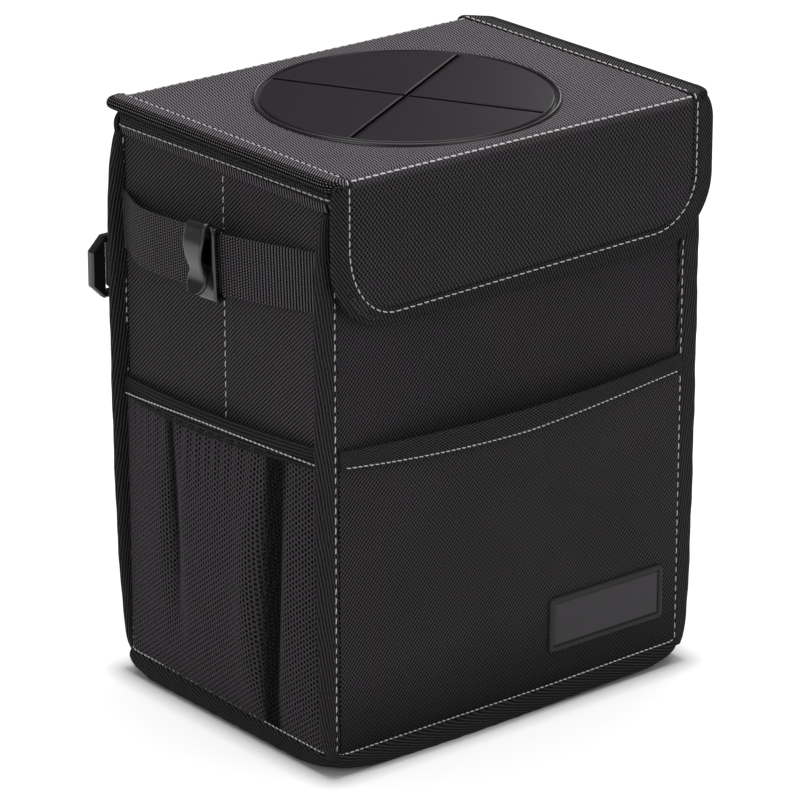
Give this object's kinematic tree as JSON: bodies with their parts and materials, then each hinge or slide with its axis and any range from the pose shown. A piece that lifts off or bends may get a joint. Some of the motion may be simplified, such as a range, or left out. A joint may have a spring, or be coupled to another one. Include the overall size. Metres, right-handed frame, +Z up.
{
  "type": "car trash bin",
  "caption": "Soft-sided car bin with a hinged lid, slit rubber mouth, front flap, pockets, sliding bag clips and a hanging strap.",
  "frame": {"origin": "middle of the base, on the floor", "axes": "+Z up, front faces -Y, +X to the viewer's right"},
  "size_m": [0.2276, 0.166, 0.2513],
  "materials": {
    "front_twill": "fine diagonal twill, matt",
    "side_twill": "coarser diagonal twill, matt",
    "lid_twill": "fine diagonal twill, matt, a shade lighter",
    "flap_weave": "zig-zag basket weave, matt",
    "base_fabric": "coated cloth, matt",
    "lining": "coated lining, slight sheen",
    "binding_tape": "ribbed tape with white stitching",
    "webbing": "ribbed webbing",
    "mesh": "net with small round holes",
    "elastic": "ribbed elastic",
    "touch_fastener": "hook and loop pile",
    "membrane": "satin moulded",
    "patch": "satin moulded",
    "moulded_plastic": "gloss moulded"
  },
  "bodies": {
    "bin": {"front_panel": "front_twill", "back_panel": "front_twill", "left_side_panel": "side_twill", "right_side_panel": "side_twill", "base_panel": "base_fabric", "base_binding": "binding_tape", "inner_liner": "lining", "rim_binding": "binding_tape", "front_left_seam": "binding_tape", "front_right_seam": "binding_tape", "back_left_seam": "binding_tape", "back_right_seam": "binding_tape", "front_pocket": "front_twill", "front_pocket_binding": "binding_tape", "label_patch": "patch", "left_mesh_pocket": "mesh", "right_mesh_pocket": "mesh", "left_mesh_hem": "elastic", "right_mesh_hem": "elastic", "left_webbing": "webbing", "right_webbing": "webbing", "front_loop_strip": "touch_fastener", "hinge_tape": "binding_tape", "hanging_strap": "webbing", "strap_tab": "webbing", "ladder_lock": "moulded_plastic"},
    "lid": {"lid_panel": "lid_twill", "lid_left_binding": "binding_tape", "lid_right_binding": "binding_tape", "rubber_membrane": "membrane"},
    "flap": {"flap_panel": "flap_weave", "flap_binding": "binding_tape", "flap_hook_strip": "touch_fastener"},
    "left_clip": {"left_clip": "moulded_plastic"},
    "right_clip": {"right_clip": "moulded_plastic"}
  },
  "joints": [
    {"name": "lid_hinge", "type": "hinge", "parent": "bin", "child": "lid", "pos_m": [0, 0.0712, 0.2482], "axis": [-1, 0, 0], "range_deg": [0, 240]},
    {"name": "flap_hinge", "type": "hinge", "parent": "lid", "child": "flap", "pos_m": [0, -0.0729, 0.2482], "axis": [-1, 0, 0], "range_deg": [0, 180]},
    {"name": "left_clip_slide", "type": "slide", "parent": "bin", "child": "left_clip", "axis": [0, 0.9986, -0.0523], "range_m": [0, 0.036]},
    {"name": "right_clip_slide", "type": "slide", "parent": "bin", "child": "right_clip", "axis": [0, 0.9986, -0.0523], "range_m": [0, 0.036]}
  ]
}
